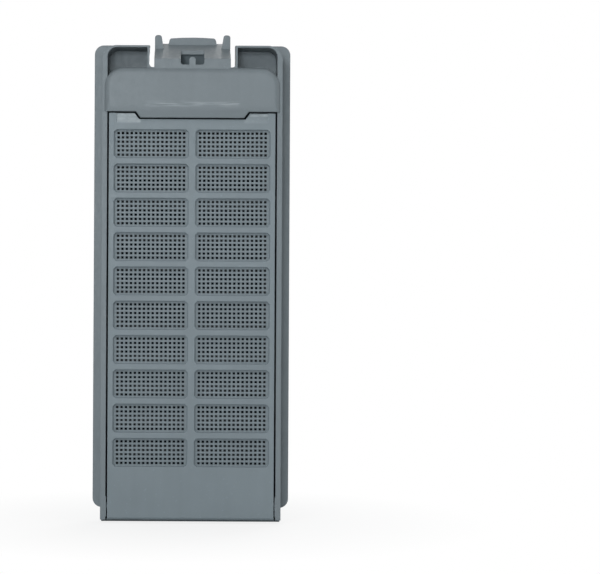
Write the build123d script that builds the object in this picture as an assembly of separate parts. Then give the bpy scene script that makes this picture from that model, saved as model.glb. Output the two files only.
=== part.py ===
from build123d import *
import math
import os

# A clip-in lint filter for a washing machine drum, upright as it sits in its pocket.
# X runs across, Z up along its length, -Y is the screen side and +Y the side that faces the drum.
# The origin is on the seat plane behind the flange, at the middle of the flange's lower edge.

# Flange and front panel
flange_width = 72.0
flange_height = 170.0
flange_thickness = 2.0
flange_corner = 3.4
flange_edge_round = 0.7

# Side walls behind the flange
box_width = 65.3
box_depth = 12.5
box_top_margin = 1.4
box_corner = 5.3
wall = 1.9
top_wall = 0.7
wall_foot_front = 4.6
wall_foot_rear = 3.1

# Locating apron below the flange
apron_thickness = 1.6
apron_overlap = 1.6
ledge_thickness = 1.5
ledge_reach = 4.2

# Finger scoop, hung from the top of the flange
scoop_side = 2.25
scoop_top_margin = 10.8
scoop_mouth = 22.6
scoop_mouth_round = 2.5
scoop_depth = 12.4
scoop_ramp_angle = 40.0
scoop_bend = 5.0
scoop_corner = 5.6
scoop_back_round = 0.8
scoop_wall = 1.5

# Inlet slots in the front panel
slot_side = 5.0
slot_bar = 4.35
slot_rib = 3.86
slot_rows = 10
slot_head = 15.9
slot_foot = 11.5
slot_corner = 0.6
slot_rim = 0.5

# Closing skirt and tab below the scoop's back
skirt_drop = 12.1
skirt_height = 2.5
skirt_thickness = 1.4
skirt_lean = 0.8
skirt_corner = 0.6
tab_drop = 2.2
tab_width = 40.8
tab_tip_width = 37.5

# Latch tongue in the notch at the top
notch_width = 31.2
notch_corner = 1.2
notch_wall = 0.75
tongue_width = 27.7
tongue_thickness = 1.5
tongue_rise = 3.0
tongue_reach = 17.3
tongue_climb = 7.6
horn_width = 2.4
horn_base = 3.4
horn_height = 2.4
horn_round = 1.0
horn_setback = 3.4
horn_length = 2.6
press_lip_width = 16.8
press_lip_base = 18.4
press_lip_height = 2.1
press_lip_crown = 0.35
press_lip_round = 1.0
press_lip_thickness = 1.5
latch_window_width = 8.5
latch_window_corner = 0.9
latch_window_sill = 0.9
latch_window_reach = 9.2
pip_width = 2.3
pip_height = 2.8
pip_round = 1.1

# Raised arrow on the front panel
arrow_drop = 1.8
arrow_head_width = 9.2
arrow_head_height = 5.7
arrow_stem_width = 3.5
arrow_stem_height = 4.7
arrow_relief = 0.35

# Screen door
door_gap = 0.65
door_thickness = 2.5
door_top_gap = 0.5
door_foot = 3.15
door_return_thickness = 1.5
door_return_reach = 4.8
door_foot_round = 1.0
door_ledge_height = 3.4
door_ledge_drop = 0.8
door_ledge_side = 2.7

# Screen windows in the door
window_side = 2.0
window_bar = 2.9
window_rib = 2.45
window_rows = 10
window_head = 6.15
window_foot = 16.2
window_corner = 0.8
window_rim = 0.3
screen_thickness = 0.9
screen_gap = 0.85
screen_rows = 6
screen_margin = 0.64
screen_side = 1.0

# Hinge at the door's foot
hinge_height = 1.6
hinge_depth = 9.6
stub_radius = 1.5
stub_clearance = 0.05
stub_end_clearance = 0.3
lug_radius = 2.6
lug_width = 2.5
boss_thickness = 0.25
boss_height = 7.2
boss_depth = 6.0

# What follows from the sizes above
front_y = flange_thickness
rim_y = -box_depth
box_top = flange_height - box_top_margin
cavity_width = box_width - 2 * wall
scoop_width = box_width - 2 * scoop_side
scoop_top = flange_height - scoop_top_margin
scoop_bottom = scoop_top - scoop_mouth
scoop_back_y = -scoop_depth
scoop_slope = math.tan(math.radians(scoop_ramp_angle))
notch_floor = scoop_top + scoop_wall
lip_y = scoop_back_y - scoop_wall
lip_width = scoop_width + 2 * scoop_wall
skirt_top = scoop_top - skirt_drop
skirt_bottom = skirt_top - skirt_height
slot_width = (cavity_width - 2 * slot_side - slot_bar) / 2
slot_first_top = scoop_bottom - slot_head
slot_height = (slot_first_top - slot_foot - (slot_rows - 1) * slot_rib) / slot_rows
door_width = cavity_width - 2 * door_gap
door_inner_y = rim_y + door_thickness
door_top = skirt_bottom - door_top_gap
window_width = (door_width - 2 * window_side - window_bar) / 2
window_first_top = door_top - window_head
window_height = (window_first_top - window_foot - (window_rows - 1) * window_rib) / window_rows
screen_web = (window_height - 2 * screen_margin - screen_rows * screen_gap) / (screen_rows - 1)
screen_pitch = screen_gap + screen_web
over = 2.0


def across(sketch, front, rear):
    """A prism through the part's depth, from y = front back to y = rear."""
    return extrude(Plane.XZ.offset(-front) * sketch, amount=front - rear)


def along(sketch, width, centre=0.0):
    """A prism along X with its section drawn in Y and Z."""
    return extrude(Plane.YZ.offset(centre) * sketch, amount=width / 2, both=True)


def block(x_min, x_max, y_min, y_max, z_min, z_max):
    """A box given by its faces."""
    size = (x_max - x_min, y_max - y_min, z_max - z_min)
    centre = ((x_min + x_max) / 2, (y_min + y_max) / 2, (z_min + z_max) / 2)
    return Pos(*centre) * Box(*size)


def panel(width, bottom, top):
    """A plain rectangle in X and Z, centred on X = 0."""
    return Pos(0, (bottom + top) / 2) * Rectangle(width, top - bottom)


def top_rounded(width, bottom, top, radius):
    """A rectangle in X and Z whose two upper corners are rounded."""
    outline = panel(width, bottom, top)
    return fillet(outline.vertices().group_by(Axis.Y)[-1], radius)


def bottom_rounded(width, bottom, top, radius):
    """A rectangle in X and Z whose two lower corners are rounded."""
    outline = panel(width, bottom, top)
    return fillet(outline.vertices().group_by(Axis.Y)[0], radius)


def cut_corners(width, height, corner):
    """A rectangle about its own centre with all four corners cut off at 45 degrees."""
    return chamfer(Rectangle(width, height).vertices(), corner)


def flared(width, height, corner, rim, face, floor):
    """A cutter from y = floor out past the surface at y = face, where it opens by rim on each side."""
    outward = math.copysign(1, face - floor)
    through = cut_corners(width, height, corner)
    mouth = cut_corners(width + 2 * rim, height + 2 * rim, corner + rim)
    inset = Plane.XZ.offset(outward * rim - face) * through
    bevel = loft([inset, Plane.XZ.offset(-face) * mouth], ruled=True)
    stem = across(through, max(floor, face), min(floor, face))
    outside = face + outward * over
    return stem + bevel + across(mouth, max(face, outside), min(face, outside))


def grid(width, bar, pitch, rows, first_centre):
    """Two columns of places, set a bar apart, going down in rows of one pitch."""
    offset = (width + bar) / 2
    return [(side * offset, first_centre - row * pitch) for row in range(rows) for side in (-1, 1)]


def flange_plate():
    """The bezel and front panel with its rounded rim."""
    outline = fillet(panel(flange_width, 0, flange_height).vertices(), flange_corner)
    plate = across(outline, front_y, 0)
    return fillet(plate.faces().sort_by(Axis.Y)[-1].edges(), flange_edge_round)


def side_walls():
    """The wall that runs up both sides and round the top corners, its foot cut on a slope."""
    outer = top_rounded(box_width, -wall_foot_front, box_top, box_corner)
    inner = top_rounded(cavity_width, -wall_foot_front - over, box_top - top_wall, box_corner - wall)
    ring = across(outer, 0, rim_y) - across(inner, over, rim_y - over)
    foot_slope = (wall_foot_front - wall_foot_rear) / box_depth
    low = -wall_foot_front - over
    below = Polyline(
        (over, -wall_foot_front - over * foot_slope),
        (rim_y - over, -wall_foot_rear + over * foot_slope),
        (rim_y - over, low),
        (over, low),
        close=True,
    )
    return ring - along(make_face(below), box_width + over)


def apron():
    """The locating strip under the flange and its short ledge towards the door."""
    half = box_width / 2
    strip = block(-half, half, -apron_thickness, 0, -wall_foot_front, apron_overlap)
    ledge_top = -wall_foot_front + ledge_thickness
    return strip + block(-half, half, -ledge_reach, 0, -wall_foot_front, ledge_top)


def hinge_bosses():
    """Pads that thicken both side walls inwards round the hinge holes."""
    inner = cavity_width / 2
    low = hinge_height - boss_height / 2
    pads = [
        block(inner - boss_thickness, inner + wall / 2, rim_y, rim_y + boss_depth, low, low + boss_height),
        block(-inner - wall / 2, -inner + boss_thickness, rim_y, rim_y + boss_depth, low, low + boss_height),
    ]
    return pads[0] + pads[1]


def pillow(thickness, front):
    """The scoop's block grown outwards by a wall thickness, with round upper corners and back edges."""
    outline = top_rounded(scoop_width + 2 * thickness, 0, scoop_top + thickness, scoop_corner + thickness)
    form = across(outline, front, scoop_back_y - thickness)
    return fillet(form.faces().sort_by(Axis.Y)[0].edges(), scoop_back_round + thickness)


def scoop_form(thickness, front):
    """The scoop grown outwards by a wall thickness: the pillow block cut off below by the ramp."""
    back = scoop_back_y - thickness
    ceiling = scoop_top + thickness
    ramp_start = scoop_bottom - thickness / math.cos(math.radians(scoop_ramp_angle))
    ramp_front = ramp_start + (front_y - front) * scoop_slope
    ramp_back = ramp_start + (front_y - back) * scoop_slope
    path = FilletPolyline((back, ceiling + over), (back, ramp_back), (front, ramp_front), radius=scoop_bend)
    closing = Polyline((front, ramp_front), (front, ceiling + over), (back, ceiling + over))
    section = make_face([path, closing])
    return pillow(thickness, front) & along(section, scoop_width + 2 * thickness + over)


def skirt():
    """The band that leans in from wall to wall below the scoop's back and ends in the tapered closing tab."""
    tip = skirt_bottom - tab_drop
    root = skirt_top + scoop_bend
    section = Polyline(
        (lip_y - over, root),
        (lip_y + scoop_wall, root),
        (lip_y + scoop_wall, skirt_top),
        (lip_y + skirt_lean + skirt_thickness, tip),
        (lip_y + skirt_lean, tip),
        (lip_y, skirt_top),
        (lip_y - over, skirt_top),
        close=True,
    )
    band = bottom_rounded(lip_width, skirt_bottom, root, skirt_corner)
    tab = Polyline(
        (-tab_width / 2, skirt_bottom),
        (-tab_tip_width / 2, tip),
        (tab_tip_width / 2, tip),
        (tab_width / 2, skirt_bottom),
        (tab_width / 2, skirt_top),
        (-tab_width / 2, skirt_top),
        close=True,
    )
    outline = band + make_face(tab)
    band_form = along(make_face(section), lip_width + over) & across(outline, 0, lip_y - over)
    return band_form & pillow(scoop_wall, 0)


def horn(side, foot, top):
    """The outline of a latch horn: upright on the outside, sloping inside and rounded on top."""
    outer = side * tongue_width / 2
    outline = make_face(
        Polyline(
            (outer, foot),
            (outer, top),
            (outer - side * horn_width, top),
            (outer - side * horn_base, foot),
            close=True,
        )
    )
    return fillet(outline.vertices().group_by(Axis.Y)[-1], horn_round)


def press_lip(foot, top):
    """The outline of the lip that a finger presses, narrower on top and crowned between round corners."""
    left = (-press_lip_width / 2, top - press_lip_crown)
    right = (press_lip_width / 2, top - press_lip_crown)
    sides = Polyline(left, (-press_lip_base / 2, foot), (press_lip_base / 2, foot), right)
    outline = make_face([sides, ThreePointArc(right, (0, top), left)])
    return fillet(outline.vertices().group_by(Axis.Y)[-1], press_lip_round)


def latch_tongue():
    """The sprung tongue: a short upright, a roof that climbs forward, a press lip and two horns."""
    foot = notch_floor - scoop_wall / 2
    knee = notch_floor + tongue_rise
    rear = lip_y + scoop_back_round
    front = rear + tongue_reach
    top = knee + tongue_climb
    section = Polyline(
        (rear, foot),
        (rear, knee),
        (front, top),
        (front, top - tongue_thickness),
        (rear + tongue_thickness, knee - tongue_thickness / 2),
        (rear + tongue_thickness, foot),
        close=True,
    )
    tongue = along(make_face(section), tongue_width)
    sill = notch_floor + latch_window_sill
    window = bottom_rounded(latch_window_width, sill, top, latch_window_corner)
    tongue -= across(window, rear + latch_window_reach, rear - over)
    pip = top_rounded(pip_width, foot, sill + pip_height, pip_round)
    tongue += across(pip, rear + tongue_thickness, rear)
    lip = press_lip(top - tongue_thickness, top + press_lip_height)
    tongue += across(lip, front, front - press_lip_thickness)
    horn_front = front - horn_setback
    for side in (-1, 1):
        outline = horn(side, top - tongue_climb / 2, top + horn_height)
        tongue += across(outline, horn_front, horn_front - horn_length)
    return tongue


def arrow():
    """The raised insertion arrow on the front panel."""
    apex = scoop_bottom - arrow_drop
    barb = apex - arrow_head_height
    stem_half = arrow_stem_width / 2
    outline = Polyline(
        (0, apex),
        (arrow_head_width / 2, barb),
        (stem_half, barb),
        (stem_half, barb - arrow_stem_height),
        (-stem_half, barb - arrow_stem_height),
        (-stem_half, barb),
        (-arrow_head_width / 2, barb),
        close=True,
    )
    return across(make_face(outline), front_y + arrow_relief, front_y - arrow_relief)


def inlet_slots():
    """Cutters for the two columns of slots, flared at the front to ease their rims."""
    places = grid(slot_width, slot_bar, slot_height + slot_rib, slot_rows, slot_first_top - slot_height / 2)
    cutter = flared(slot_width, slot_height, slot_corner, slot_rim, front_y, -over)
    return [Pos(x, 0, z) * cutter for x, z in places]


def soften_mouth(case):
    """Rounds the edge where the scoop's ramp runs out into the front panel."""
    middle = Vector(0, front_y, scoop_bottom)
    mouth_edge = case.edges().filter_by(Axis.X).sort_by_distance(middle)[0]
    return case.fillet(scoop_mouth_round, [mouth_edge])


def front_case():
    """The flange, walls, scoop, skirt and latch as one moulding."""
    case = flange_plate() + side_walls() + apron() + hinge_bosses()
    case += scoop_form(scoop_wall, 0) + skirt()
    cheeks = panel(notch_width + 2 * notch_wall, notch_floor - scoop_wall / 2, box_top)
    case += across(cheeks, 0, rim_y)
    notch = bottom_rounded(notch_width, notch_floor, flange_height + over, notch_corner)
    case -= across(notch, front_y + over, lip_y - over)
    case -= scoop_form(0, front_y + over)
    case = soften_mouth(case)
    case += latch_tongue() + arrow()
    case -= inlet_slots()
    hinge_hole = Pos(-hinge_depth, hinge_height) * Circle(stub_radius + stub_clearance)
    return case - along(hinge_hole, box_width + over)


def door_outline():
    """The door seen from behind, with its top edge cut to clear the closing tab."""
    half = door_width / 2
    dip = door_top - tab_drop
    return Polyline(
        (-half, -door_foot),
        (half, -door_foot),
        (half, door_top),
        (tab_width / 2 + door_top_gap, door_top),
        (tab_tip_width / 2 + door_top_gap, dip),
        (-tab_tip_width / 2 - door_top_gap, dip),
        (-tab_width / 2 - door_top_gap, door_top),
        (-half, door_top),
        close=True,
    )


def door_plate():
    """The door's flat plate, with a rounded foot edge and a sloping ledge under the tab."""
    plate = across(make_face(door_outline()), door_inner_y, rim_y)
    foot_edge = plate.edges().filter_by(Axis.X).group_by(Axis.Z)[0].sort_by(Axis.Y)[0]
    plate = fillet(foot_edge, door_foot_round)
    slope = door_ledge_drop / door_ledge_height
    wedge = Polyline(
        (rim_y, door_top - door_ledge_height),
        (rim_y + door_ledge_drop + over * slope, door_top + over),
        (rim_y - over, door_top + over),
        (rim_y - over, door_top - door_ledge_height),
        close=True,
    )
    return plate - along(make_face(wedge), door_width - 2 * door_ledge_side)


def window_cutters():
    """Cutters for the recessed windows and for the rows of gaps in their screens."""
    first_centre = window_first_top - window_height / 2
    places = grid(window_width, window_bar, window_height + window_rib, window_rows, first_centre)
    recess_floor = door_inner_y - screen_thickness
    cutter = flared(window_width, window_height, window_corner, window_rim, rim_y, recess_floor)
    first = (screen_rows - 1) / 2 * screen_pitch
    gap_length = window_width - 2 * screen_side
    gap = across(Rectangle(gap_length, screen_gap), door_inner_y + over, recess_floor - over / 4)
    for row in range(screen_rows):
        cutter += Pos(0, 0, first - row * screen_pitch) * gap
    return [Pos(x, 0, z) * cutter for x, z in places]


def hinge_side(side):
    """The lug inside the door's foot and the stub that turns in the case wall."""
    half = door_width / 2
    lug_section = Pos(-hinge_depth, hinge_height) * Circle(lug_radius)
    lug_section += Pos((door_inner_y - hinge_depth) / 2, hinge_height) * Rectangle(
        hinge_depth + door_inner_y + over, 2 * lug_radius
    )
    lug = along(lug_section, lug_width, side * (half - lug_width / 2))
    stub_end = box_width / 2 - stub_end_clearance
    stub_length = stub_end - half + lug_width / 2
    stub_section = Pos(-hinge_depth, hinge_height) * Circle(stub_radius)
    stub = along(stub_section, stub_length, side * (stub_end - stub_length / 2))
    return lug + stub


def screen_door():
    """The perforated door with its foot return and hinge stubs as one moulding."""
    half = door_width / 2
    return_top = -door_foot + door_return_thickness
    door = door_plate() - window_cutters()
    door += block(
        -half, half, door_inner_y - over / 4, door_inner_y + door_return_reach, -door_foot, return_top
    )
    return door + hinge_side(-1) + hinge_side(1)


os.makedirs("parts", exist_ok=True)
for name, solid in (("front_case", front_case()), ("screen_door", screen_door())):
    export_step(solid, f"parts/{name}.step")
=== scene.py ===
"""Dresses a washing machine lint filter in satin plastic and sets it in a plain white studio.

The frame is in metres: X runs across, Z up along the filter, and -Y is its screen side, which the
camera faces.
"""

import logging
import math
from dataclasses import dataclass
from enum import Enum

import bpy
import numpy as np
from mathutils import Matrix, Vector

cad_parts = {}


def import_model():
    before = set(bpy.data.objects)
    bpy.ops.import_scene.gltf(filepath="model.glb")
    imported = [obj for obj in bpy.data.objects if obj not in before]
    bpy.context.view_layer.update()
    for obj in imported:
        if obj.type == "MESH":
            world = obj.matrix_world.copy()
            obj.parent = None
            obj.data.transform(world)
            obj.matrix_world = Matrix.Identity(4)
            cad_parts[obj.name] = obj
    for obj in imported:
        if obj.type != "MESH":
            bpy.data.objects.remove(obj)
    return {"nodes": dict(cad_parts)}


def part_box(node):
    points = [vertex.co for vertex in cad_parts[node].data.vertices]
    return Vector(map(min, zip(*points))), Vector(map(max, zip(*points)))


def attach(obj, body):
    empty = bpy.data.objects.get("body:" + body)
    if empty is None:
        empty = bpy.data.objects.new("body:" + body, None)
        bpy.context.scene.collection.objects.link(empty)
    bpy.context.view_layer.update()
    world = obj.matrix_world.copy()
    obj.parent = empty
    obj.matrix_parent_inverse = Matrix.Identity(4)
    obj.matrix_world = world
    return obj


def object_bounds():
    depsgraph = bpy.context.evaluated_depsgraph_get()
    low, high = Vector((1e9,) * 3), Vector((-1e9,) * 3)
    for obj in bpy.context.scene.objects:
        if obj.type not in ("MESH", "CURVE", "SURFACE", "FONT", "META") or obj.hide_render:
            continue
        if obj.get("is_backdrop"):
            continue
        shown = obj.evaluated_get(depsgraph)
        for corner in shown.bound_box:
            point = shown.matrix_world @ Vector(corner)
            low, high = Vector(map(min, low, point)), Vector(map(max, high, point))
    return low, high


LOG = logging.getLogger("lint_filter")
MM = 0.001
WHITE = (1.0, 1.0, 1.0, 1.0)
QUAD = [[0, 1, 2, 3]]

Socket = bpy.types.NodeSocket
Span = tuple[float, float]
Triple = tuple[float, float, float]


class Slot(Enum):
    """The record's material slots."""

    CASE = "case_plastic"
    DOOR = "door_plastic"


class Body(Enum):
    """The bodies that the hinge joins."""

    CASE = "case"
    DOOR = "door"


@dataclass(frozen=True)
class Colour:
    """A colour in sRGB steps from 0 to 255."""

    red: float
    green: float
    blue: float

    def linear(self, gain: float = 1.0) -> tuple[float, float, float, float]:
        """Turns the colour into the linear values that a shader takes, by the sRGB standard's curve.

        Args:
            gain: a factor on the linear values, to darken or lighten the colour.

        Returns:
            Linear red, green and blue, and an alpha of one.
        """
        srgb = np.array([self.red, self.green, self.blue]) / 255.0
        straight = np.where(srgb <= 0.04045, srgb / 12.92, ((srgb + 0.055) / 1.055) ** 2.4)
        return (*(float(channel) for channel in straight * gain), 1.0)


class NodeGraph:
    """Adds nodes to a node tree and links them."""

    # A Mix node's places for its factor and two colours, and for the colour that it gives.
    MIX_INPUTS = (0, 6, 7)
    MIX_OUTPUT = 2

    def __init__(self, tree: bpy.types.NodeTree) -> None:
        """Empties a node tree and keeps it."""
        self.tree = tree
        self.tree.nodes.clear()

    def add(self, kind: str, inputs: dict | None = None, **settings: object) -> bpy.types.Node:
        """Adds one node.

        Args:
            kind: the node's type name.
            inputs: values or output sockets for the node's inputs, by name or place.
            settings: the node's own properties.

        Returns:
            The new node.
        """
        node = self.tree.nodes.new(kind)
        for name, value in settings.items():
            setattr(node, name, value)
        for socket, value in (inputs or {}).items():
            if isinstance(value, Socket):
                self.tree.links.new(value, node.inputs[socket])
            else:
                node.inputs[socket].default_value = value
        return node

    def math(self, operation: str, first: object, second: object = 0.0) -> Socket:
        """Adds a Math node and returns its result."""
        return self.add("ShaderNodeMath", {0: first, 1: second}, operation=operation).outputs[0]

    def ramp(self, value: Socket, span: Span, to: Span) -> Socket:
        """Adds a clamped Map Range from one span of values to another and returns its result."""
        limits = {"From Min": span[0], "From Max": span[1], "To Min": to[0], "To Max": to[1]}
        node = self.add("ShaderNodeMapRange", {"Value": value, **limits}, clamp=True)
        return node.outputs["Result"]

    def strip(self, value: Socket, span: Span, fade: float) -> Socket:
        """Adds a soft-edged strip, one inside a span of values and zero outside, and returns it."""
        start = self.ramp(value, (span[0] - fade, span[0] + fade), (0.0, 1.0))
        end = self.ramp(value, (span[1] - fade, span[1] + fade), (1.0, 0.0))
        return self.math("MULTIPLY", start, end)

    def blend(self, factor: Socket, first: object, second: object) -> Socket:
        """Adds a colour Mix by a factor and returns its result."""
        inputs = dict(zip(self.MIX_INPUTS, (factor, first, second)))
        return self.add("ShaderNodeMix", inputs, data_type="RGBA").outputs[self.MIX_OUTPUT]

    def stretched(self, place: Socket, stretch: Triple) -> Socket:
        """Adds a Mapping that scales a place along each axis and returns the new place."""
        return self.add("ShaderNodeMapping", {"Vector": place, "Scale": stretch}).outputs["Vector"]

    def noise(self, place: Socket, size: float, detail: float = 2.0) -> Socket:
        """Adds a noise whose features are about a given size in metres and returns its value."""
        inputs = {"Vector": place, "Scale": 1.0 / size, "Detail": detail}
        return self.add("ShaderNodeTexNoise", inputs).outputs["Fac"]


def new_material(name: str) -> tuple[bpy.types.Material, NodeGraph]:
    """Makes a material with no nodes yet.

    Args:
        name: the material's name.

    Returns:
        The material and its graph.
    """
    material = bpy.data.materials.new(name)
    material.use_nodes = True
    return material, NodeGraph(material.node_tree)


@dataclass(frozen=True)
class ScuffAndHighlightBand:
    """A stretch of a moulding painted pale: partly rubbed by use, partly a painted highlight.

    It lies between two heights, two depths and two distances from the moulding's middle.
    """

    heights: Span
    depths: Span
    distances: Span
    least: float
    most: float
    patch_size: float
    stretch: Triple = (1.0, 1.0, 1.0)
    # The right side's share of the paleness: less where the painted light falls from the left.
    right_share: float = 1.0
    fade: float = 0.6 * MM
    patch_detail: float = 5.0
    patch_contrast: Span = (0.42, 0.62)
    # The pale colour of the scuffs and the painted highlight.
    colour: Colour = Colour(186, 193, 196)

    def mask(self, graph: NodeGraph, place: Socket) -> Socket:
        """Draws the band's paleness, scuff and painted highlight: patches of noise inside the band,
        fading at its edges.

        Args:
            graph: the material's graph.
            place: the point on the moulding.

        Returns:
            How pale the surface is, from zero to the band's most.
        """
        axes = graph.add("ShaderNodeSeparateXYZ", {0: place}).outputs
        level = graph.strip(axes["Z"], self.heights, self.fade)
        level = graph.math("MULTIPLY", level, graph.strip(axes["Y"], self.depths, self.fade))
        aside = graph.strip(graph.math("ABSOLUTE", axes["X"]), self.distances, self.fade)
        side = graph.ramp(axes["X"], (-self.fade, self.fade), (1.0, self.right_share))
        aside = graph.math("MULTIPLY", aside, side)
        streaked = graph.stretched(place, self.stretch)
        patches = graph.noise(streaked, self.patch_size, self.patch_detail)
        patches = graph.ramp(patches, self.patch_contrast, (self.least, self.most))
        return graph.math("MULTIPLY", graph.math("MULTIPLY", level, aside), patches)


@dataclass(frozen=True)
class ChamberShade:
    """Painted shade in the lint chamber: its walls are painted darker where the closed door shuts
    them in.
    """

    half_width: float
    depths: Span
    heights: Span
    gain: float = 0.15
    reach: float = 25 * MM
    shut: float = 0.3
    clear: float = 0.7
    fade: float = 0.2 * MM
    samples: int = 4

    def mask(self, graph: NodeGraph, place: Socket) -> Socket:
        """Finds the chamber's walls and how far they are shut in.

        Args:
            graph: the material's graph.
            place: the point on the moulding.

        Returns:
            The painted shade's strength: one on a closed chamber's wall, zero on an open one and
            outside.
        """
        axes = graph.add("ShaderNodeSeparateXYZ", {0: place}).outputs
        zone = graph.strip(axes["X"], (-self.half_width, self.half_width), self.fade)
        zone = graph.math("MULTIPLY", zone, graph.strip(axes["Y"], self.depths, self.fade))
        zone = graph.math("MULTIPLY", zone, graph.strip(axes["Z"], self.heights, self.fade))
        reach = {"Distance": self.reach}
        sky = graph.add("ShaderNodeAmbientOcclusion", reach, samples=self.samples).outputs["AO"]
        return graph.math("MULTIPLY", zone, graph.ramp(sky, (self.shut, self.clear), (1.0, 0.0)))


@dataclass(frozen=True)
class SatinPlastic:
    """Injection-moulded plastic with a fine satin grain and faint flow marks; edges rubbed pale with
    painted highlights.
    """

    name: str
    colour: Colour
    mottle: float = 0.05
    mottle_size: float = 16 * MM
    mottle_share: float = 0.65
    flow_size: float = 3 * MM
    flow_share: float = 0.35
    flow_stretch: Triple = (1.0, 1.0, 0.12)
    usual_noise: Span = (0.3, 0.7)
    grain_size: float = 0.28 * MM
    grain_depth: float = 0.012 * MM
    grain_detail: float = 1.0
    smoothest: float = 0.4
    roughest: float = 0.54
    refraction: float = 1.46
    edge_radius: float = 0.3 * MM
    edge_samples: int = 6
    edge_turn: Span = (0.99, 0.8)
    # How pale sharp edges get: rubbed wear and painted highlight.
    edge_wear_and_highlight: float = 0.22
    edge_contrast: Span = (0.35, 0.6)
    edge_least: float = 0.25
    rub_size: float = 1.4 * MM
    rub_detail: float = 4.0
    rub_contrast: Span = (0.62, 0.74)
    rub_amount: float = 0.1
    # The pale colour of rubbed edges and painted edge highlights, as a gain on the body colour.
    pale_gain: float = 2.2
    scuffs_and_highlights: tuple[ScuffAndHighlightBand, ...] = ()
    shade: ChamberShade | None = None

    def body(self, graph: NodeGraph, place: Socket) -> Socket:
        """Makes the plastic lighter and darker by slow mottling and stretched flow marks.

        Args:
            graph: the material's graph.
            place: the point on the moulding.

        Returns:
            The plastic's colour before its rubbed and painted pale marks.
        """
        slow = graph.noise(place, self.mottle_size)
        flow = graph.noise(graph.stretched(place, self.flow_stretch), self.flow_size)
        slow = graph.math("MULTIPLY", slow, self.mottle_share)
        flow = graph.math("MULTIPLY", flow, self.flow_share)
        tone = graph.ramp(graph.math("ADD", slow, flow), self.usual_noise, (0.0, 1.0))
        darkest = self.colour.linear(1 - self.mottle)
        return graph.blend(tone, darkest, self.colour.linear(1 + self.mottle))

    def pale_marks(self, graph: NodeGraph, rounded: Socket, rubs: Socket) -> Socket:
        """Finds what is pale: sharp bends, rubbed and painted as highlights, and rubs where a noise
        crosses a threshold.

        Args:
            graph: the material's graph.
            rounded: the surface's normal with its edges rounded.
            rubs: the noise.

        Returns:
            How pale the plastic is, by rubbing and by painted edge highlight.
        """
        flat = graph.add("ShaderNodeNewGeometry").outputs["Normal"]
        turn = graph.add("ShaderNodeVectorMath", {0: rounded, 1: flat}, operation="DOT_PRODUCT")
        # Sharp edges are painted pale: partly rubbed, partly a painted highlight.
        edges = graph.ramp(turn.outputs["Value"], self.edge_turn, (0.0, self.edge_wear_and_highlight))
        uneven = graph.ramp(rubs, self.edge_contrast, (self.edge_least, 1.0))
        edges = graph.math("MULTIPLY", edges, uneven)
        return graph.math("ADD", edges, graph.ramp(rubs, self.rub_contrast, (0.0, self.rub_amount)))

    def material(self) -> bpy.types.Material:
        """Builds the finish as a shader: body colour, rubbed edges with painted highlights, pale
        bands of scuff and painted highlight, painted shade, grain and gloss.

        Returns:
            The material.
        """
        material, graph = new_material(self.name)
        place = graph.add("ShaderNodeTexCoord").outputs["Object"]
        bevel = {"Radius": self.edge_radius}
        rounded = graph.add("ShaderNodeBevel", bevel, samples=self.edge_samples).outputs["Normal"]
        rubs = graph.noise(place, self.rub_size, self.rub_detail)
        worn_and_highlit = self.pale_marks(graph, rounded, rubs)
        tint = graph.blend(worn_and_highlit, self.body(graph, place), self.colour.linear(self.pale_gain))
        # Pale bands painted over the colour: scuffs with painted highlights.
        for band in self.scuffs_and_highlights:
            tint = graph.blend(band.mask(graph, place), tint, band.colour.linear())
        # Painted shade: the closed chamber's walls are darkened in the colour.
        if self.shade:
            dark = self.colour.linear(self.shade.gain)
            tint = graph.blend(self.shade.mask(graph, place), tint, dark)
        grain = graph.noise(place, self.grain_size, self.grain_detail)
        bump = {"Height": grain, "Normal": rounded, "Strength": 1.0, "Distance": self.grain_depth}
        look = {
            "Base Color": tint,
            "Roughness": graph.ramp(rubs, self.usual_noise, (self.smoothest, self.roughest)),
            "Normal": graph.add("ShaderNodeBump", bump).outputs["Normal"],
            "IOR": self.refraction,
        }
        surface = graph.add("ShaderNodeBsdfPrincipled", look).outputs["BSDF"]
        graph.add("ShaderNodeOutputMaterial", {"Surface": surface})
        return material


@dataclass(frozen=True)
class FacetSmoother:
    """Joins a moulding's loose triangles and shades them smoothly up to an angle between faces."""

    angle_deg: float = 25.0
    merge_distance: float = 0.002 * MM

    def group(self) -> bpy.types.NodeTree:
        """Builds the node group that the modifier runs.

        Returns:
            A group that merges doubled points and shades smoothly the edges that bend less than
            the angle.
        """
        tree = bpy.data.node_groups.new("facet_smoother", "GeometryNodeTree")
        for way in ("INPUT", "OUTPUT"):
            tree.interface.new_socket("Geometry", in_out=way, socket_type="NodeSocketGeometry")
        graph = NodeGraph(tree)
        loose = {
            "Geometry": graph.add("NodeGroupInput").outputs[0],
            "Distance": self.merge_distance,
        }
        merged = graph.add("GeometryNodeMergeByDistance", loose).outputs["Geometry"]
        bend = graph.add("GeometryNodeInputMeshEdgeAngle").outputs["Unsigned Angle"]
        gentle = graph.math("LESS_THAN", bend, math.radians(self.angle_deg))
        shaded = merged
        for domain, smooth in (("FACE", True), ("EDGE", gentle)):
            inputs = {"Geometry": shaded, "Shade Smooth": smooth}
            node = graph.add("GeometryNodeSetShadeSmooth", inputs, domain=domain)
            shaded = node.outputs["Geometry"]
        graph.add("NodeGroupOutput", {0: shaded})
        return tree


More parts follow.
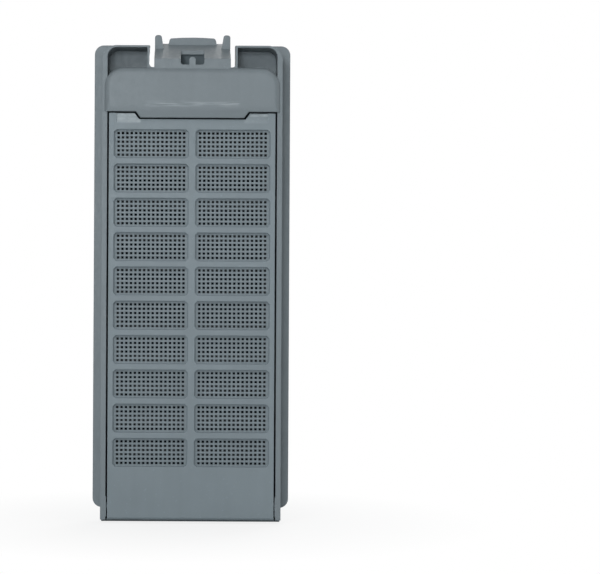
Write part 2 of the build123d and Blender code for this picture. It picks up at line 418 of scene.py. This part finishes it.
@dataclass(frozen=True)
class Moulding:
    """A moulded part of the filter, which keeps its solid and gets its finish."""

    node: str
    finish: SatinPlastic

    def dress(
        self, nodes: dict[str, bpy.types.Object], smoother: bpy.types.NodeTree
    ) -> bpy.types.Material:
        """Gives the moulding its finish and smooth shading.

        Args:
            nodes: the frame's nodes by name.
            smoother: the node group that shades the moulding.

        Returns:
            The material, for other pieces of the same moulding.
        """
        piece = nodes[self.node]
        material = self.finish.material()
        piece.data.materials.clear()
        piece.data.materials.append(material)
        piece.modifiers.new("facet_smoother", "NODES").node_group = smoother
        flats = piece.modifiers.new("flat_faces", "WEIGHTED_NORMAL")
        flats.keep_sharp = True
        LOG.info("dressed %s in %s", self.node, self.finish.name)
        return material


@dataclass(frozen=True)
class ScreenRibs:
    """The upright ribs that cross each window's gaps and make its screen a grid of square holes."""

    node: str = "screen_door"
    window_rows: int = 10
    window_head: float = 6.15 * MM
    window_foot: float = 16.2 * MM
    window_rib: float = 2.45 * MM
    column_offset: float = 14.775 * MM
    holes: int = 16
    hole_width: float = 0.85 * MM
    screen_length: float = 24.65 * MM
    end_margin: float = 0.5 * MM
    door_thickness: float = 2.5 * MM
    screen_thickness: float = 0.9 * MM
    skin: float = 0.02 * MM
    corner_power: float = 5.0
    profile_points: int = 16

    def rib_width(self) -> float:
        """The width that is left for each rib between the holes."""
        return (self.screen_length - self.holes * self.hole_width) / (self.holes - 1)

    def rib_length(self) -> float:
        """The length of a rib, whose ends sink a little into the screen's solid margin."""
        return self.window_pitch() - self.window_rib - 2 * self.end_margin

    def window_pitch(self) -> float:
        """The step from one row of windows to the next."""
        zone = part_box(self.node)[1].z - self.window_head - self.window_foot
        return (zone + self.window_rib) / self.window_rows

    def profile(self) -> np.ndarray:
        """Draws a rib's section.

        The section is a superellipse: x and y are cosine and sine, each raised to two over the
        corner power with its sign kept, times half the rib's width and half its thickness.

        Returns:
            The section's points in X and Y, anticlockwise.
        """
        turn = np.linspace(0.0, 2.0 * math.pi, self.profile_points, endpoint=False)
        turn += math.pi / self.profile_points
        circle = np.stack([np.cos(turn), np.sin(turn)], axis=1)
        rounded = np.sign(circle) * np.abs(circle) ** (2.0 / self.corner_power)
        return rounded * np.array([self.rib_width(), self.screen_thickness - 2 * self.skin]) / 2.0

    def centres(self) -> np.ndarray:
        """Places every rib: the windows' columns and rows, and the ribs side by side in each.

        Returns:
            The ribs' middle points, one row each.
        """
        low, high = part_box(self.node)
        middle = low.y + self.door_thickness - self.screen_thickness / 2.0
        columns = np.array([-self.column_offset, self.column_offset])
        ribs = np.arange(self.holes - 1) - self.holes / 2.0 + 1.0
        across = ribs * (self.rib_width() + self.hole_width)
        first = high.z - self.window_head - (self.window_pitch() - self.window_rib) / 2.0
        heights = first - np.arange(self.window_rows) * self.window_pitch()
        x, z = np.meshgrid((columns[:, None] + across).ravel(), heights)
        return np.stack([x.ravel(), np.full(x.size, middle), z.ravel()], axis=1)

    def build(self, material: bpy.types.Material) -> bpy.types.Object:
        """Carries the section straight up at every place.

        Args:
            material: the door's finish.

        Returns:
            All the ribs as one piece that rides on the door.
        """
        profile = self.profile()
        centres = self.centres()
        ring = len(profile)
        shape = np.zeros((2, ring, 3))
        shape[:, :, :2] = profile
        shape[:, :, 2] = np.array([[-0.5], [0.5]]) * self.rib_length()
        points = (centres[:, None, None, :] + shape).reshape(-1, 3)
        step = np.arange(ring)
        following = np.roll(step, -1)
        sides = np.stack([step, following, following + ring, step + ring], axis=1)
        caps = np.stack([step[::-1], step + ring])
        starts = np.arange(len(centres))[:, None, None] * 2 * ring
        faces = (sides + starts).reshape(-1, 4).tolist() + (caps + starts).reshape(-1, ring).tolist()
        mesh = bpy.data.meshes.new("screen_ribs")
        mesh.from_pydata(points.tolist(), [], faces)
        mesh.materials.append(material)
        piece = bpy.data.objects.new("screen_ribs", mesh)
        bpy.context.scene.collection.objects.link(piece)
        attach(piece, Body.DOOR.value)
        LOG.info("built %s with %d ribs", piece.name, len(centres))
        return piece


@dataclass(frozen=True)
class Softbox:
    """A square lamp that faces the filter."""

    name: str
    place: Triple
    size: float
    level: float
    tint: Triple = (1.0, 1.0, 1.0)

    def build(self, aim: Vector) -> bpy.types.Object:
        """Sets up the lamp.

        Its power is the level times pi squared times the distance squared, which lights a white
        surface that faces it to that level.

        Args:
            aim: the point that the lamp faces.

        Returns:
            The lamp.
        """
        towards = aim - Vector(self.place)
        lamp = bpy.data.lights.new(self.name, "AREA")
        lamp.size = self.size
        lamp.color = self.tint
        lamp.energy = self.level * math.pi**2 * towards.length_squared
        holder = bpy.data.objects.new(self.name, lamp)
        holder.location = self.place
        holder.rotation_euler = towards.to_track_quat("-Z", "Y").to_euler()
        bpy.context.scene.collection.objects.link(holder)
        return holder


@dataclass(frozen=True)
class ShadeBoard:
    """A matt studio board of painted shade, closing an opening of the filter as its dark pocket
    would.
    """

    name: str
    half_width: float
    low: float
    high: float
    depth: float
    colour: Colour

    def corners(self) -> np.ndarray:
        """Gives the board's corners in turn."""
        edge = self.half_width
        spread = [(-edge, self.low), (edge, self.low), (edge, self.high), (-edge, self.high)]
        return np.array([(x, self.depth, z) for x, z in spread])


@dataclass(frozen=True)
class Studio:
    """The white room: floor, painted-shade sheets in the filter's openings, lamps, ambient light and
    camera.
    """

    floor_colour: Colour = Colour(243, 243, 243)
    floor_half: float = 6.0
    floor_glow: float = 0.82
    floor_near: float = 0.02
    floor_far: float = 0.11
    ambient: float = 0.13
    ambient_tint: tuple[float, float, float, float] = (0.86, 0.96, 1.0, 1.0)
    # Dark sheets of painted shade: one in the front panel's slots, one behind the latch window.
    shade_boards: tuple[ShadeBoard, ...] = (
        ShadeBoard(
            "slot_shade_board",
            half_width=28 * MM,
            low=10 * MM,
            high=125 * MM,
            depth=0.8 * MM,
            colour=Colour(44, 51, 55),
        ),
        ShadeBoard(
            "latch_shade_board",
            half_width=5 * MM,
            low=159.5 * MM,
            high=167.6 * MM,
            depth=-3 * MM,
            colour=Colour(98, 106, 110),
        ),
    )
    camera_place: Triple = (0.0, -700.0 * MM, 81.2 * MM)
    camera_roll_deg: float = 0.3
    camera_shift: float = 0.181
    lens: float = 114.04
    lamps: tuple[Softbox, ...] = (
        Softbox("key_upper_left", place=(-0.42, -0.90, 0.60), size=0.3, level=0.21),
        Softbox(
            "fill_camera_side",
            place=(-0.13, -1.17, 0.19),
            size=0.34,
            level=0.31,
            tint=(0.92, 1.0, 1.05),
        ),
        Softbox("glint_upper_left", place=(-0.50, -0.40, 0.90), size=0.4, level=0.04),
        Softbox("glint_upper_right", place=(0.45, -0.40, 0.90), size=0.3, level=0.08),
        Softbox("fill_right", place=(1.0, -0.30, 0.40), size=0.5, level=0.1),
        Softbox("front_panel", place=(0.35, 1.00, 0.50), size=0.7, level=0.72),
    )

    def add_sheet(self, name: str, corners: np.ndarray) -> bpy.types.Object:
        """Adds a flat stage sheet to the scene.

        Args:
            name: the object's name.
            corners: its four corners in turn, one row each.

        Returns:
            The object, marked as stage.
        """
        mesh = bpy.data.meshes.new(name)
        mesh.from_pydata(corners.tolist(), [], QUAD)
        piece = bpy.data.objects.new(name, mesh)
        bpy.context.scene.collection.objects.link(piece)
        piece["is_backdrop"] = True
        return piece

    def floor(self, height: float) -> bpy.types.Object:
        """Lays the pale floor, which keeps the filter's shadow and fades to white away from it.

        Args:
            height: the level that the filter stands on.

        Returns:
            The floor.
        """
        half = self.floor_half
        spread = [(-half, -half), (half, -half), (half, half), (-half, half)]
        piece = self.add_sheet("floor", np.array([(x, y, height) for x, y in spread]))
        material, graph = new_material("pale_floor")
        pale = {"Color": self.floor_colour.linear()}
        matt = graph.add("ShaderNodeBsdfDiffuse", pale).outputs["BSDF"]
        white = {"Color": WHITE, "Strength": 1.0}
        glow = graph.add("ShaderNodeEmission", white).outputs["Emission"]
        seen = graph.add("ShaderNodeLightPath").outputs["Is Camera Ray"]
        place = graph.add("ShaderNodeTexCoord").outputs["Object"]
        away = graph.add("ShaderNodeVectorMath", {0: place}, operation="LENGTH").outputs["Value"]
        share = graph.ramp(away, (self.floor_near, self.floor_far), (self.floor_glow, 1.0))
        share = graph.math("MULTIPLY", seen, share)
        mix = graph.add("ShaderNodeMixShader", {0: share, 1: matt, 2: glow}).outputs["Shader"]
        graph.add("ShaderNodeOutputMaterial", {"Surface": mix})
        piece.data.materials.append(material)
        return piece

    def stand(self, board: ShadeBoard) -> bpy.types.Object:
        """Stands a board of painted shade in its place.

        Args:
            board: the board's place, size and colour.

        Returns:
            The board's object.
        """
        piece = self.add_sheet(board.name, board.corners())
        material, graph = new_material(f"matt_{board.name}")
        # The board's colour is painted shade.
        paint = {"Color": board.colour.linear()}
        matt = graph.add("ShaderNodeBsdfDiffuse", paint).outputs["BSDF"]
        graph.add("ShaderNodeOutputMaterial", {"Surface": matt})
        piece.data.materials.append(material)
        return piece

    def surroundings(self) -> None:
        """Makes the world white where it is seen and an even soft light elsewhere."""
        world = bpy.data.worlds.new("white_room")
        world.use_nodes = True
        bpy.context.scene.world = world
        graph = NodeGraph(world.node_tree)
        dim = {"Color": self.ambient_tint, "Strength": self.ambient}
        soft = graph.add("ShaderNodeBackground", dim).outputs["Background"]
        bright = {"Color": WHITE, "Strength": 1.0}
        white = graph.add("ShaderNodeBackground", bright).outputs["Background"]
        path = graph.add("ShaderNodeLightPath").outputs
        seen = graph.math("MAXIMUM", path["Is Camera Ray"], path["Is Glossy Ray"])
        seen = graph.math("MAXIMUM", seen, path["Is Transmission Ray"])
        mix = graph.add("ShaderNodeMixShader", {0: seen, 1: soft, 2: white}).outputs["Shader"]
        graph.add("ShaderNodeOutputWorld", {"Surface": mix})

    def camera(self) -> bpy.types.Object:
        """Puts the camera square to the screen side, its frame shifted to clear the right half.

        Returns:
            The camera.
        """
        lens = bpy.data.cameras.new("camera")
        lens.lens = self.lens
        lens.shift_x = self.camera_shift
        holder = bpy.data.objects.new("camera", lens)
        level = Matrix.Rotation(math.radians(90.0), 4, "X")
        roll = Matrix.Rotation(math.radians(self.camera_roll_deg), 4, "Z")
        holder.matrix_world = Matrix.Translation(self.camera_place) @ level @ roll
        bpy.context.scene.collection.objects.link(holder)
        bpy.context.scene.camera = holder
        return holder

    def build(self, low: Vector, high: Vector) -> None:
        """Sets up the whole room.

        Args:
            low: the filter's lowest corner.
            high: its highest corner.
        """
        self.floor(low.z)
        for board in self.shade_boards:
            self.stand(board)
        self.surroundings()
        for lamp in self.lamps:
            lamp.build((low + high) / 2.0)
        self.camera()
        bpy.context.scene.view_settings.view_transform = "Standard"
        LOG.info("set up the studio with %d lamps", len(self.lamps))


# Pale streaks along the lip's bend: rubbed wear with a painted highlight along the bend.
BEND_STREAKS = ScuffAndHighlightBand(
    heights=(146.6 * MM, 148.0 * MM),
    depths=(-15.0 * MM, -13.2 * MM),
    distances=(-1.0 * MM, 17.0 * MM),
    least=0.0,
    most=0.34,
    patch_size=0.6 * MM,
    stretch=(0.07, 1.0, 1.0),
)
# Pale patches on the door's up-facing top ledges: scuffs with painted light, as light falls from
# above and the left, so the right gets less.
LEDGE_FACE = ScuffAndHighlightBand(
    heights=(140.6 * MM, 144.6 * MM),
    depths=(-14.0 * MM, -10.8 * MM),
    distances=(18.8 * MM, 27.4 * MM),
    least=0.34,
    most=0.56,
    patch_size=1.8 * MM,
    stretch=(0.5, 1.0, 1.0),
    right_share=0.35,
    fade=0.4 * MM,
)
# The ledges' top edges: scuffs with a painted highlight, less on the right.
LEDGE_EDGE = ScuffAndHighlightBand(
    heights=(143.0 * MM, 144.8 * MM),
    depths=(-14.0 * MM, -10.8 * MM),
    distances=(18.8 * MM, 27.4 * MM),
    least=0.1,
    most=0.9,
    patch_size=0.9 * MM,
    stretch=(0.35, 1.0, 1.0),
    right_share=0.7,
    fade=0.3 * MM,
)
# Painted shade for the lint chamber's walls, found by ambient occlusion.
CHAMBER_SHADE = ChamberShade(
    half_width=31.0 * MM,
    depths=(-10.3 * MM, 0.3 * MM),
    heights=(-1.0 * MM, 146.0 * MM),
)
CASE_FINISH = SatinPlastic(
    "case_satin_plastic",
    Colour(112, 120, 124),
    scuffs_and_highlights=(BEND_STREAKS,),
    shade=CHAMBER_SHADE,
)
DOOR_FINISH = SatinPlastic(
    "door_satin_plastic",
    Colour(117, 127, 132),
    # Strong edge paleness: rubbed edges and painted highlights on the ribs and window rims.
    edge_wear_and_highlight=0.45,
    rub_amount=0.14,
    scuffs_and_highlights=(LEDGE_FACE, LEDGE_EDGE),
)


def main() -> None:
    """Loads the frame, dresses the mouldings, adds the screen's ribs and sets up the studio."""
    logging.basicConfig(level=logging.INFO, format="%(name)s: %(message)s")
    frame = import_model()
    cad_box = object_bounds()
    smoother = FacetSmoother().group()
    Moulding("front_case", CASE_FINISH).dress(frame["nodes"], smoother)
    door_plastic = Moulding("screen_door", DOOR_FINISH).dress(frame["nodes"], smoother)
    ScreenRibs().build(door_plastic)
    Studio().build(Vector(cad_box[0]), Vector(cad_box[1]))


if __name__ == "__main__":
    main()
